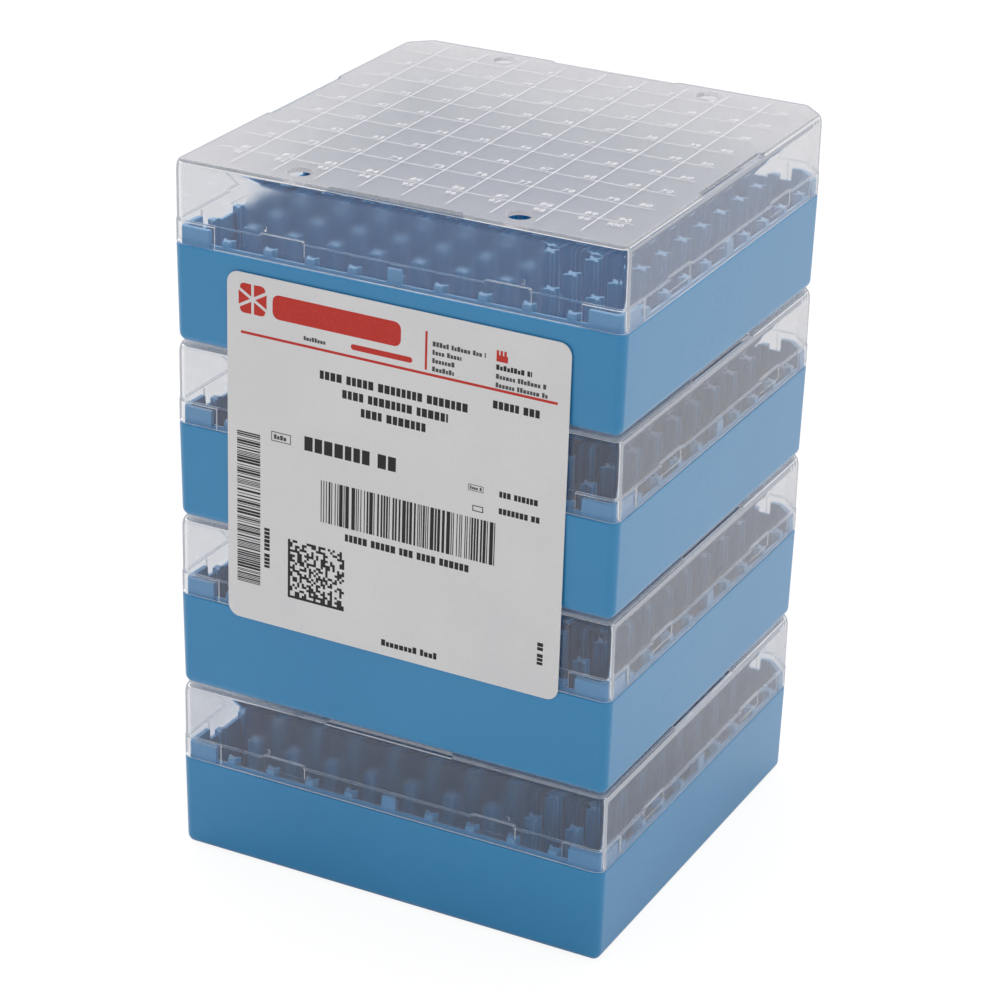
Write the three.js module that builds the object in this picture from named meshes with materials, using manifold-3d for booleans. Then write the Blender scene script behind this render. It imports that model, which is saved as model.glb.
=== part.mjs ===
// Stack of four laboratory freezer boxes, each a moulded blue base
// with upright posts that part it into ten by ten tube cells, and a clear
// lift-off lid. A square paper label stands against the front of the stack.
//
// Millimetres, +Z up. The origin is the centre of the underside of the lowest
// base. The front of every box, where the label stands, faces -Y.

import * as THREE from "three";
import { mergeVertices } from "three/addons/utils/BufferGeometryUtils.js";
import Module from "manifold-3d";

// ------------------------------------------------------------ dimensions (mm)
// A "half" is the distance from the box's centre line to a side face.
// Heights named Z are measured from the underside of the box.
const BOX_COUNT = 4;
const BOX_SIDE = 133.0; // outside, square, at the lid skirt and base shoulder
const BOX_HALF = BOX_SIDE / 2;
const BOX_HEIGHT = 51.5; // one closed box, floor to lid top
const GAP = 0.3; // clearance between neighbouring pieces
const BOX_PITCH = BOX_HEIGHT + GAP;

// outline corners, seen from above
const FRONT_CORNER = 2.8; // radius of the two front corners
const FRONT_CORNER_MIN = 0.9; // smallest radius on inner outlines
const FRONT_CORNER_SEGMENTS = 3;
const BACK_CHAMFER = 6.6; // leg of the chamfer on the two back corners
const BACK_CHAMFER_MIN = 1.5; // smallest leg on inner outlines
const EDGE_MIDDLE = 0.3; // middle ring of a rounded edge, as a share of its size

// base
const BASE_DRAFT = 0.45; // taper of each outer side, shoulder to floor
const BASE_SHOULDER_Z = 28.0; // ledge the lid skirt stands over
const BASE_EDGE = 2.6; // rounding of the bottom edge
const BASE_FLOOR = 2.0;
const BASE_INNER_HALF = 63.3; // inside faces of the wall
const RIM_HALF = 64.3; // outside faces of the low rim that stands inside the lid
const RIM_TOP_Z = 29.1;
const UPRIGHT_HALF = 64.85; // outside faces of the four corner uprights
const UPRIGHT_TOP_Z = 32.9;
const UPRIGHT_REACH = 55.7; // where each arm of a corner upright ends
const UPRIGHT_TRIM = 0.2; // how far below the shoulder the gaps between them start
const TAB_WIDTH = 4.1; // locating tab at the middle of each side
const TAB_TOP_Z = UPRIGHT_TOP_Z;
const TAB_INSET = 0.2; // how far a tab stands in from the wall's inside face

// tube cells
const CELLS = 10;
const CELL_PITCH = 12.7;
const POST_TOP_Z = 30.8;
const POST_HALF = 1.77; // half the side of a square post, 2.5 to its corners
const WALL_POST_ROOT = 0.6; // how far a half post runs into the side wall

// lid
const LID_SKIRT_Z = BASE_SHOULDER_Z + GAP; // underside of the skirt
const LID_STEP_Z = 34.8; // ledge between the thick skirt and the upper wall
const LID_STEP = 0.15; // how far the skirt stands out of the upper wall
const LID_UPPER_HALF = BOX_HALF - LID_STEP; // outside faces of the upper wall
const LID_INNER_HALF = RIM_HALF + GAP; // inside faces of the skirt
const LID_UPPER_INNER_HALF = 65.0; // inside faces of the upper wall
const LID_TOP_THICKNESS = 1.8;
const LID_EDGE = 1.3; // rounding of the top edge
const CORNER_POCKET_HALF = UPRIGHT_HALF + GAP; // skirt inside, around the uprights
const CORNER_POCKET_REACH = 53.9; // where each arm of a corner pocket ends
const CORNER_POCKET_TOP_Z = 34.2;

// raised grip lugs over the lid's step line, two on each side
const LUG_WIDTH = 13.1;
const LUG_OFFSET = 33.1; // from the middle of the side to the middle of a lug
const LUG_TOP_Z = 35.6;
const LUG_ROOT_DEPTH = 0.4; // how far a lug runs into the upper wall
const LUG_ROOT_DROP = 0.8; // how far a lug runs down into the skirt
const LUG_POCKET_LOW_Z = 31.2; // lower end of the shallow pocket behind each lug
const LUG_POCKET_DEPTH = 0.35;
const LUG_POCKET_MARGIN = 0.4; // from the lug's ends and top to its pocket

// stacking notch in the middle of each top edge of the lid
const NOTCH_LENGTH = 37.9; // along its inner side
const NOTCH_DEPTH = 0.9;
const NOTCH_INSET = 2.3; // into the lid top, and the widening of each slanted end
const NOTCH_OUTSET = 0.5; // how far outside the upper wall the slants begin

// vent holes through the lid top
const VENT_RADIUS = 3.3;
const VENT_X = 32.2;
const VENT_Y = 58.3;
const VENT_CUT = 4; // depth of the cutter below the lid top
const VENT_SEGMENTS = 12;

// label
const LABEL_SIDE = 101.6;
const LABEL_CORNER = 3.5;
const LABEL_CORNER_SEGMENTS = 5;
const LABEL_THICKNESS = 0.3;
const LABEL_BOTTOM_Z = 77.6; // above the underside of the stack
const LABEL_X = 1.2; // its centre, across the front
const LABEL_TILT = 0.007; // radians, its right side hangs a little low

// construction
const OVERLAP = 1; // how far joined parts and cutters run past a face
const FAR = BOX_SIDE; // a distance that is beyond the box in any direction
const MERGE_TOLERANCE = 1e-4; // vertices closer than this become one

// -------------------------------------------------------------- materials
const BLUE = new THREE.MeshStandardMaterial({
  name: "blue_polycarbonate",
  color: 0x3f82b4,
  roughness: 0.38,
  metalness: 0.0,
});
const CLEAR = new THREE.MeshStandardMaterial({
  name: "clear_polycarbonate",
  color: 0xdfe3ea,
  roughness: 0.12,
  metalness: 0.0,
  transparent: true,
  opacity: 0.3,
});
const PAPER = new THREE.MeshStandardMaterial({
  name: "label_paper",
  color: 0xc8c8cb,
  roughness: 0.7,
  metalness: 0.0,
});

// --------------------------------------------------------- solid operations
const wasm = await Module();
wasm.setup();

// A closed three.js geometry as a solid that can be joined and cut.
function solid(geometry) {
  const bare = geometry.index ? geometry.toNonIndexed() : geometry.clone();
  for (const key of Object.keys(bare.attributes)) {
    if (key !== "position") bare.deleteAttribute(key);
  }
  const merged = mergeVertices(bare, MERGE_TOLERANCE);
  return new wasm.Manifold(
    new wasm.Mesh({
      numProp: 3,
      vertProperties: new Float32Array(merged.attributes.position.array),
      triVerts: new Uint32Array(merged.index.array),
    }),
  );
}

function join(parts) {
  return parts.reduce((whole, part) => whole.add(part));
}

function cut(body, tools) {
  return tools.reduce((left, tool) => left.subtract(tool), body);
}

// A solid as a flat-shaded three.js geometry.
function geometryOf(body) {
  const mesh = body.getMesh();
  const indexed = new THREE.BufferGeometry();
  // a vertex holds x, y and z only
  indexed.setAttribute("position", new THREE.BufferAttribute(mesh.vertProperties, 3));
  indexed.setIndex(new THREE.BufferAttribute(mesh.triVerts, 1));
  const flat = indexed.toNonIndexed();
  flat.computeVertexNormals();
  return flat;
}

// ------------------------------------------------------------------ shapes
// Square outline of the box seen from above: rounded front corners and
// chamfered back corners. The corner sizes shrink with `half`, down to their
// minimums, so that nested outlines stay parallel.
function outline(half) {
  const inset = BOX_HALF - half;
  const radius = Math.max(FRONT_CORNER - inset, FRONT_CORNER_MIN);
  const leg = Math.max(BACK_CHAMFER - inset * (2 - Math.SQRT2), BACK_CHAMFER_MIN);
  const points = [];
  const quarterArc = (centreX, centreY, start) => {
    for (let i = 0; i <= FRONT_CORNER_SEGMENTS; i++) {
      const angle = start + ((Math.PI / 2) * i) / FRONT_CORNER_SEGMENTS;
      const x = centreX + radius * Math.cos(angle);
      const y = centreY + radius * Math.sin(angle);
      points.push(new THREE.Vector2(x, y));
    }
  };
  quarterArc(-half + radius, -half + radius, Math.PI); // left front corner
  quarterArc(half - radius, -half + radius, (3 * Math.PI) / 2); // right front corner
  points.push(
    new THREE.Vector2(half, half - leg),
    new THREE.Vector2(half - leg, half),
    new THREE.Vector2(-half + leg, half),
    new THREE.Vector2(-half, half - leg),
  );
  return points;
}

// A closed body lofted through outlines of equal point count, from bottom to top.
function loft(rings) {
  const count = rings[0].points.length;
  const position = rings.flatMap(({ z, points }) => points.flatMap(({ x, y }) => [x, y, z]));
  const index = [];
  for (let i = 0; i + 1 < rings.length; i++) {
    for (let j = 0; j < count; j++) {
      const here = i * count + j;
      const next = i * count + ((j + 1) % count);
      index.push(here, next, next + count);
      index.push(here, next + count, here + count);
    }
  }
  const caps = THREE.ShapeUtils.triangulateShape(rings[0].points, []);
  const top = (rings.length - 1) * count;
  for (const [first, second, third] of caps) {
    index.push(first, third, second);
    index.push(top + first, top + second, top + third);
  }
  const geometry = new THREE.BufferGeometry();
  geometry.setAttribute("position", new THREE.Float32BufferAttribute(position, 3));
  geometry.setIndex(index);
  return solid(geometry);
}

// A straight-sided body from an outline between two heights.
function prism(points, z0, z1) {
  return loft([
    { z: z0, points },
    { z: z1, points },
  ]);
}

function block(x0, x1, y0, y1, z0, z1) {
  const geometry = new THREE.BoxGeometry(x1 - x0, y1 - y0, z1 - z0);
  geometry.translate((x0 + x1) / 2, (y0 + y1) / 2, (z0 + z1) / 2);
  return solid(geometry);
}

// The same piece on all four sides: the function draws it on the front (-Y).
function onFourSides(make) {
  return [0, 1, 2, 3].map((i) => make().rotate([0, 0, 90 * i]));
}

// What is left of a ring at its four corners, once everything above `z` that is
// nearer than `reach` to either centre line is taken away.
function cornersOf(ring, reach, z) {
  return cut(ring, [
    block(-reach, reach, -FAR, FAR, z, FAR),
    block(-FAR, FAR, -reach, reach, z, FAR),
  ]);
}

// ------------------------------------------------------------------- base
// Drafted outer body with a rounded bottom edge.
function baseShell() {
  const halfAt = (z) => BOX_HALF - BASE_DRAFT + (BASE_DRAFT * z) / BASE_SHOULDER_Z;
  const middle = BASE_EDGE * EDGE_MIDDLE;
  return loft([
    { z: 0, points: outline(halfAt(0) - BASE_EDGE) },
    { z: middle, points: outline(halfAt(middle) - middle) },
    { z: BASE_EDGE, points: outline(halfAt(BASE_EDGE)) },
    { z: BASE_SHOULDER_Z, points: outline(BOX_HALF) },
  ]);
}

// Corner uprights, cut out of a ring taller than the rim.
function cornerUprights() {
  const ring = prism(outline(UPRIGHT_HALF), BASE_SHOULDER_Z - OVERLAP, UPRIGHT_TOP_Z);
  return cornersOf(ring, UPRIGHT_REACH, BASE_SHOULDER_Z - UPRIGHT_TRIM);
}

// Locating tab in the middle of the front side.
function frontTab() {
  const inner = -BASE_INNER_HALF + TAB_INSET;
  return block(-TAB_WIDTH / 2, TAB_WIDTH / 2, -RIM_HALF, inner, RIM_TOP_Z - OVERLAP, TAB_TOP_Z);
}

// Post of the cell grid centred on x, between two places in y.
function post(x, y0, y1) {
  return block(x - POST_HALF, x + POST_HALF, y0, y1, BASE_FLOOR - OVERLAP, POST_TOP_Z);
}

// Half posts along the front wall, one on each grid line.
function frontWallPosts(gridLines) {
  const gridEdge = -(CELLS / 2) * CELL_PITCH;
  const root = -BASE_INNER_HALF - WALL_POST_ROOT;
  return join(gridLines.map((x) => post(x, root, gridEdge + POST_HALF)));
}

function makeBase() {
  const rim = prism(outline(RIM_HALF), BASE_SHOULDER_Z - OVERLAP, RIM_TOP_Z);
  const well = prism(outline(BASE_INNER_HALF), BASE_FLOOR, FAR);
  const body = cut(join([baseShell(), rim, cornerUprights()]), [well]);
  // lines between neighbouring cells, the same in x and y
  const gridLines = Array.from(
    { length: CELLS - 1 },
    (_, i) => (i + 1 - CELLS / 2) * CELL_PITCH,
  );
  const posts = gridLines.flatMap((x) =>
    gridLines.map((y) => post(x, y - POST_HALF, y + POST_HALF)),
  );
  return join([
    body,
    ...onFourSides(frontTab),
    ...posts,
    ...onFourSides(() => frontWallPosts(gridLines)),
  ]);
}

// -------------------------------------------------------------------- lid
// Outer body with the step above the skirt and a rounded top edge.
function lidShell() {
  const middle = LID_EDGE * EDGE_MIDDLE;
  return loft([
    { z: LID_SKIRT_Z, points: outline(BOX_HALF) },
    { z: LID_STEP_Z, points: outline(BOX_HALF) },
    { z: LID_STEP_Z, points: outline(LID_UPPER_HALF) },
    { z: BOX_HEIGHT - LID_EDGE, points: outline(LID_UPPER_HALF) },
    { z: BOX_HEIGHT - middle, points: outline(LID_UPPER_HALF - middle) },
    { z: BOX_HEIGHT, points: outline(LID_UPPER_HALF - LID_EDGE) },
  ]);
}

// Blocks at the places of the lugs, two on each side of the lid. `margin` is
// taken off both ends of a lug's width.
function lugBlocks(margin, y0, y1, z0, z1) {
  const reach = LUG_WIDTH / 2 - margin;
  return onFourSides(() =>
    join([-LUG_OFFSET, LUG_OFFSET].map((x) => block(x - reach, x + reach, y0, y1, z0, z1))),
  );
}

// Hollow of the lid: the skirt is thicker than the upper wall, and its ledge
// rises a little behind each lug.
function lidCavity() {
  const ceiling = BOX_HEIGHT - LID_TOP_THICKNESS;
  const raisedLedges = lugBlocks(
    0,
    -LID_UPPER_INNER_HALF - OVERLAP,
    -LID_INNER_HALF,
    LID_STEP_Z - OVERLAP,
    LUG_TOP_Z,
  );
  return join([
    prism(outline(LID_INNER_HALF), LID_SKIRT_Z - OVERLAP, ceiling),
    cut(prism(outline(LID_UPPER_INNER_HALF), LID_STEP_Z, ceiling), raisedLedges),
  ]);
}

// Wider inside at the four corners, around the base's uprights.
function cornerPockets() {
  const ring = prism(
    outline(CORNER_POCKET_HALF),
    LID_SKIRT_Z - OVERLAP,
    CORNER_POCKET_TOP_Z,
  );
  return cornersOf(ring, CORNER_POCKET_REACH, 0);
}

// Cutter for the notch in the front top edge, with slanted ends.
function frontNotch() {
  const innerX = NOTCH_LENGTH / 2;
  const outerX = innerX + NOTCH_INSET;
  const outside = -BOX_HALF - OVERLAP;
  const slantStart = -LID_UPPER_HALF - NOTCH_OUTSET;
  const inner = -LID_UPPER_HALF + NOTCH_INSET;
  const points = [
    [-outerX, outside],
    [outerX, outside],
    [outerX, slantStart],
    [innerX, inner],
    [-innerX, inner],
    [-outerX, slantStart],
  ].map(([x, y]) => new THREE.Vector2(x, y));
  return prism(points, BOX_HEIGHT - NOTCH_DEPTH, BOX_HEIGHT + OVERLAP);
}

// Cutter for one vent hole.
function vent(x, y) {
  const z0 = BOX_HEIGHT - VENT_CUT;
  const z1 = BOX_HEIGHT + OVERLAP;
  const geometry = new THREE.CylinderGeometry(VENT_RADIUS, VENT_RADIUS, z1 - z0, VENT_SEGMENTS);
  geometry.rotateX(Math.PI / 2);
  geometry.translate(x, y, (z0 + z1) / 2);
  return solid(geometry);
}

function makeLid() {
  // the lugs carry the skirt's face up over the step line
  const lugs = lugBlocks(
    0,
    -BOX_HALF,
    -LID_UPPER_HALF + LUG_ROOT_DEPTH,
    LID_STEP_Z - LUG_ROOT_DROP,
    LUG_TOP_Z,
  );
  const lugPockets = lugBlocks(
    LUG_POCKET_MARGIN,
    -LID_INNER_HALF - LUG_POCKET_DEPTH,
    -LID_INNER_HALF + OVERLAP,
    LUG_POCKET_LOW_Z,
    LUG_TOP_Z - LUG_POCKET_MARGIN,
  );
  const vents = [-VENT_X, VENT_X].flatMap((x) => [-VENT_Y, VENT_Y].map((y) => vent(x, y)));
  return cut(join([lidShell(), ...lugs]), [
    lidCavity(),
    cornerPockets(),
    ...lugPockets,
    ...onFourSides(frontNotch),
    ...vents,
  ]);
}

// ------------------------------------------------------------------ label
// Square sheet with rounded corners, its centre at the origin of its back face.
function makeLabel() {
  const half = LABEL_SIDE / 2;
  const radius = LABEL_CORNER;
  const flat = half - radius; // where the straight edges end
  const shape = new THREE.Shape();
  shape.moveTo(-flat, -half);
  shape.lineTo(flat, -half);
  shape.absarc(flat, -flat, radius, -Math.PI / 2, 0, false);
  shape.lineTo(half, flat);
  shape.absarc(flat, flat, radius, 0, Math.PI / 2, false);
  shape.lineTo(-flat, half);
  shape.absarc(-flat, flat, radius, Math.PI / 2, Math.PI, false);
  shape.lineTo(-half, -flat);
  shape.absarc(-flat, -flat, radius, Math.PI, (3 * Math.PI) / 2, false);
  const geometry = new THREE.ExtrudeGeometry(shape, {
    depth: LABEL_THICKNESS,
    bevelEnabled: false,
    curveSegments: LABEL_CORNER_SEGMENTS,
  });
  geometry.rotateX(Math.PI / 2); // upright, front face towards -Y
  return solid(geometry);
}

// --------------------------------------------------------------- assembly
function namedMesh(name, geometry, material) {
  const mesh = new THREE.Mesh(geometry, material);
  mesh.name = name;
  return mesh;
}

const baseGeometry = geometryOf(makeBase());
const lidGeometry = geometryOf(makeLid());

const stack = new THREE.Group();
stack.name = "freezer_box_stack";
for (let i = 0; i < BOX_COUNT; i++) {
  const box = new THREE.Group();
  box.name = `box_${i + 1}`;
  box.position.z = i * BOX_PITCH;
  box.add(
    namedMesh(`base_${i + 1}`, baseGeometry, BLUE),
    namedMesh(`lid_${i + 1}`, lidGeometry, CLEAR),
  );
  stack.add(box);
}

const label = namedMesh("pack_label", geometryOf(makeLabel()), PAPER);
label.position.set(LABEL_X, -BOX_HALF - GAP, LABEL_BOTTOM_Z + LABEL_SIDE / 2);
label.rotation.y = LABEL_TILT;
stack.add(label);

export default stack;
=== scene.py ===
"""A stack of four storage boxes, each a blue base with a clear lid, and a label.

The frame's origin is the centre of the underside of the lowest box: x runs to
the right, y from front to back and z up. Each box repeats the one below it,
BOX_PITCH higher. The lids carry a printed grid of numbered cells, and the label
stands on the front of the stack. Shapes are built in millimetres; materials,
lights and the camera are in metres.
"""

import math
import random
from collections import namedtuple

import bpy
from mathutils import Matrix, Vector


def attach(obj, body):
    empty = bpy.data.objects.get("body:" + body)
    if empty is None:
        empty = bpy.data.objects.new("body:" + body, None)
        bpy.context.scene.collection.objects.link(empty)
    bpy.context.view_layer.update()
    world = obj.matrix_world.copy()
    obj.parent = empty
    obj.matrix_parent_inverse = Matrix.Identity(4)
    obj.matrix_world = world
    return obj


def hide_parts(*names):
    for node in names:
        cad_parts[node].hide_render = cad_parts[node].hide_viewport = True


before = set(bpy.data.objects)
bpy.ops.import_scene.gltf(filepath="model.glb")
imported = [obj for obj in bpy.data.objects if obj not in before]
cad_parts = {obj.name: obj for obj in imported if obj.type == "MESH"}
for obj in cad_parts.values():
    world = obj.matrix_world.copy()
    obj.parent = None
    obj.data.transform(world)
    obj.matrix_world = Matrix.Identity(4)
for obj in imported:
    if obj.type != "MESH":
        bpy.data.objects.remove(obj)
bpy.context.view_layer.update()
random.seed(20)
MM = 0.001

# ------------------------------------------------------------ dimensions (mm)
# An inset is a distance inwards from the box's side, at HALF from the centre.
BOX_COUNT = 4
BOX_PITCH = 51.8
HALF = 66.5
FRONT_CORNER = 2.8  # radius of the two front corners
CHAMFER = 6.6  # leg of the chamfer on the two back corners
CHAMFER_ROUND = 3.0
STEP_RUN = 0.07  # half the length over which a wall steps along a side

# base
DRAFT = 0.45
SHOULDER = 28.0
BASE_EDGE = 2.6  # rounding under the base
FLOOR = 2.0
FLOOR_ROUND = 1.2
RIM_IN = 2.2  # rim's outer face
CORNER_IN = 1.65  # outer face of the raised corners
WALL_IN = 3.2  # wall's inner face
RIM_TOP = 29.1
RAISED_TOP = 32.9  # corners and tabs that stand above the rim
CORNER_REACH = 55.7
TAB_HALF = 2.05

# posts between the cells
PITCH = 12.7
CELLS_HALF = 5  # cells from the centre to a wall
POST_TOP = 30.7
ARM_REACH = 1.98  # post's axis to the centre of an arm's round tip
ARM_TIP = 0.52
WAIST = 1.16  # post's axis to the middle of a hollow side
# z and how far the section is drawn in there
POST_LEVELS = [
    (FLOOR - 1.0, -0.1),
    (15.0, -0.05),
    (POST_TOP - 0.22, 0.0),
    (POST_TOP - 0.06, 0.05),
    (POST_TOP, 0.2),
]

# lid
SKIRT = 28.3  # lower edge
STEP = 34.8  # where the skirt meets the upper wall
STEP_IN = 0.2  # upper wall's outer face
LID_IN = 1.9  # skirt's inner face
UPPER_IN = 1.5  # upper wall's inner face
POCKET_IN = 1.35  # hollows inside the skirt's corners
POCKET_REACH = 53.9
POCKET_TOP = 34.2
TOP = 51.5
CEILING = 50.3
FILLET = 0.4  # inside, wall to ceiling
EDGE = 1.3  # rounding of the top edge, inwards
EDGE_TALL = 3.2  # and downwards
LUG_START, LUG_END = 26.55, 39.65  # lugs along each side, from its middle
LUG_RISE = 0.8
LUG_LOW = 31.2
LUG_IN = 1.55
NOTCH_HALF = 18.95  # notch in the middle of each top edge, at its inner side
NOTCH_FLARE = 1.5  # widening of each end towards the outer face
NOTCH_FLOOR = 50.6
NOTCH_IN = 2.45
VENT_R = 3.3
VENT_X, VENT_Y = 32.2, 58.3

# rounded bumps on the front of the lid
NUB_X = (-37.9, 37.7)
NUB_Y = -HALF + STEP_IN + 0.05
NUB_Z = 37.2
NUB_RADII = (0.62, 0.36, 0.85)
NUB_LIFT = 0.12

# print on the lid
LINE_WIDTH = 0.38
INK_LOW, INK_HIGH = TOP + 0.012, TOP + 0.034
PRINT_PITCH = 12.755
PRINT_TURN = 0.0028  # radians, the printed grid sits a little askew on the lid
ROWS = [1.05 + PRINT_PITCH * k for k in range(4, -5, -1)]  # lines, back to front
COLUMNS = [-0.78 + PRINT_PITCH * k for k in range(-4, 5)]  # lines, left to right
ROW_ENDS = (-61.5, 59.7)
COLUMN_ENDS = (-60.5, 61.0)
LINE_GAP = 0.01  # column lines break at the row lines
DIGIT_HEIGHT = 2.4
DIGIT_GAP = 0.26
NUMBER_GAPS = [2.0, 0.9, 1.0, 1.1, 1.15, 1.25, 1.35, 1.45, 1.55]  # to the line on the right
LAST_NUMBER_RIGHT = 58.05
NUMBER_FOOT = 0.94  # above the row's line
LAST_NUMBER_DROP = 3.43  # front row, below the last line

# label
LABEL_SIDE = 101.6
LABEL_CORNER = 3.5
LABEL_X, LABEL_Z = 1.2, 77.6 + LABEL_SIDE / 2  # its centre
LABEL_TILT = 0.007
LABEL_BACK = -66.8
LABEL_FRONT = -67.1
PRINT_BACK, PRINT_FRONT = LABEL_FRONT - 0.008, LABEL_FRONT - 0.026
LAYOUT = LABEL_SIDE / 102.2  # the printed layout is drawn for a side of 102.2


# ------------------------------------------------------------- mesh helpers
def make_mesh(name, verts, faces):
    """A mesh from vertices in millimetres."""
    mesh = bpy.data.meshes.new(name)
    mesh.from_pydata([(x * MM, y * MM, z * MM) for x, y, z in verts], [], faces)
    mesh.update()
    return mesh


def add_object(name, data, location=(0, 0, 0)):
    obj = bpy.data.objects.new(name, data)
    obj.location = location
    bpy.context.scene.collection.objects.link(obj)
    return obj


def mesh_object(name, verts, faces):
    return add_object(name, make_mesh(name, verts, faces))


def evaluated_mesh(obj):
    bpy.context.view_layer.update()
    graph = bpy.context.evaluated_depsgraph_get()
    return bpy.data.meshes.new_from_object(obj.evaluated_get(graph))


def boolean(target, tool, operation):
    """target joined with or cut by tool, and tool removed."""
    modifier = target.modifiers.new("cut", "BOOLEAN")
    modifier.operation = operation
    modifier.solver = "MANIFOLD"
    modifier.object = tool
    result = evaluated_mesh(target)
    target.modifiers.clear()
    target.data = result
    bpy.data.objects.remove(tool)
    if not len(result.polygons):
        raise RuntimeError("a boolean on " + target.name + " left nothing")


def shade(mesh, angle):
    """Smooth shading that stays crisp where faces meet at more than angle degrees."""
    mesh.polygons.foreach_set("use_smooth", [True] * len(mesh.polygons))
    mesh.set_sharp_from_angle(angle=math.radians(angle))
    mesh.update()


def weight_normals(obj):
    modifier = obj.modifiers.new("weighted_normals", "WEIGHTED_NORMAL")
    modifier.mode = "FACE_AREA"
    modifier.weight = 80
    modifier.keep_sharp = True


def block_mesh(x0, x1, y0, y1, z0, z1):
    verts = [(x, y, z) for z in (z0, z1) for y in (y0, y1) for x in (x0, x1)]
    faces = [
        (0, 2, 3, 1), (4, 5, 7, 6), (0, 1, 5, 4),
        (2, 6, 7, 3), (0, 4, 6, 2), (1, 3, 7, 5),
    ]
    return verts, faces


def prism_mesh(outlines):
    """Vertices and faces of one closed body through outlines of (x, y, z) points."""
    verts, faces = [], []
    n = len(outlines[0])
    for ring in outlines:
        verts += ring
    for k in range(len(outlines) - 1):
        for i in range(n):
            a, b = k * n + i, k * n + (i + 1) % n
            faces.append((a, b, b + n, a + n))
    faces.append(tuple(range(n - 1, -1, -1)))
    top = (len(outlines) - 1) * n
    faces.append(tuple(range(top, top + n)))
    return verts, faces


def gather(pieces):
    """Several (verts, faces) pairs as one."""
    verts, faces = [], []
    for piece_verts, piece_faces in pieces:
        n = len(verts)
        verts += piece_verts
        faces += [tuple(i + n for i in face) for face in piece_faces]
    return verts, faces


def rotate(x, y, cos, sin):
    return x * cos - y * sin, x * sin + y * cos


def turn_to_side(x, y, side):
    """A point drawn at the front, turned to side 0-3, anticlockwise from the front."""
    return rotate(x, y, *((1, 0), (0, 1), (-1, 0), (0, -1))[side])


def rounded_rectangle(u0, v0, u1, v1, radius, steps):
    points = []
    for u, v, start in (
        (u0 + radius, v0 + radius, 180),
        (u1 - radius, v0 + radius, 270),
        (u1 - radius, v1 - radius, 0),
        (u0 + radius, v1 - radius, 90),
    ):
        for i in range(steps + 1):
            t = math.radians(start + 90 / steps * i)
            points.append((u + radius * math.cos(t), v + radius * math.sin(t)))
    return points


# ----------------------------------------------- outline of the box, from above
# kind is "side", "arc" or one of the two roundings of a chamfer; at is the place
# along a side, or the fraction of a corner's turn. follow is how far a station
# takes part in a row's sideways shift: -1, 0 or 1.
Station = namedtuple("Station", "kind side at follow", defaults=(0,))
ARC_STEPS = 8
CHAMFER_STEPS = 5


def perimeter(cuts):
    """Stations anticlockwise from the left end of the front.

    cuts are the (at, follow) pairs of half a side, which is mirrored.
    """
    straights = sorted(set([(-at, -follow) for at, follow in cuts] + cuts))
    stations = []
    for side in range(4):
        stations += [Station("side", side, at, follow) for at, follow in straights]
        if side in (0, 3):
            corner = [("arc", ARC_STEPS)]
        else:
            corner = [("chamfer_start", CHAMFER_STEPS), ("chamfer_end", CHAMFER_STEPS)]
        for kind, steps in corner:
            stations += [Station(kind, side, i / steps) for i in range(steps + 1)]
    return stations


def step_cuts(at):
    return [(at - STEP_RUN, 0), (at + STEP_RUN, 0)]


def place(station, inset, shift):
    """Where a station lies on the outline with this inset."""
    half = HALF - inset
    if station.kind == "side":
        x, y = station.at + station.follow * shift, -half
    else:
        if station.kind == "arc":
            radius = max(FRONT_CORNER - inset, 0.8)
            x, y = half - radius, -half + radius
            t = -math.pi / 2 + station.at * math.pi / 2
        else:
            leg = max(CHAMFER - 0.5858 * inset, 1.5)  # 2 - sqrt(2) shorter per inset
            radius = max(CHAMFER_ROUND - inset, 0.6)
            run = 0.41421 * radius  # tangent length of a 45 degree turn
            if station.kind == "chamfer_start":
                x, y, start = half - leg - run, -half + radius, -math.pi / 2
            else:
                x, y, start = half - radius, -half + leg + run, -math.pi / 4
            t = start + station.at * math.pi / 4
        x += radius * math.cos(t)
        y += radius * math.sin(t)
    return turn_to_side(x, y, station.side)


def shell(name, stations, rows):
    """One closed body through rows; a row maps a station to (inset, z, shift)."""
    rings = []
    for row in rows:
        ring = []
        for station in stations:
            inset, z, shift = row(station)
            ring.append((*place(station, inset, shift), z))
        rings.append(ring)
    return mesh_object(name, *prism_mesh(rings))


# --------------------------------------------------------------------- base
# Rounding of the rim's top, outer face first: (inset, z) steps of the raised
# parts, then of the low rim, from the face and from the top
RIM_OUTER_ROUND = [
    ((0.0, -0.22), (0.0, -0.15)),
    ((0.07, -0.07), (0.05, -0.05)),
    ((0.24, 0.0), (0.2, 0.0)),
]
RIM_INNER_ROUND = [
    ((-0.24, 0.0), (-0.2, 0.0)),
    ((-0.06, -0.06), (-0.05, -0.05)),
    ((0.0, -0.24), (0.0, -0.2)),
]


def base_region(station):
    if station.kind != "side" or abs(station.at) > CORNER_REACH:
        return "corner"
    return "tab" if abs(station.at) < TAB_HALF else "rim"


def level(inset, z, corner=None):
    """A row at one height, with its own inset at the corners if given."""

    def row(station):
        own = corner is not None and base_region(station) == "corner"
        return corner if own else inset, z, 0

    return row


def rim_row(corner_in, rim_in, raised_step, low_step):
    def row(station):
        region = base_region(station)
        inset = corner_in if region == "corner" else rim_in
        top = RIM_TOP if region == "rim" else RAISED_TOP
        step_in, step_z = low_step if region == "rim" else raised_step
        return inset + step_in, top + step_z, 0

    return row


def lean(z):
    """Inset of the drafted outer wall at height z."""
    return DRAFT * (1 - z / SHOULDER)


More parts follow.
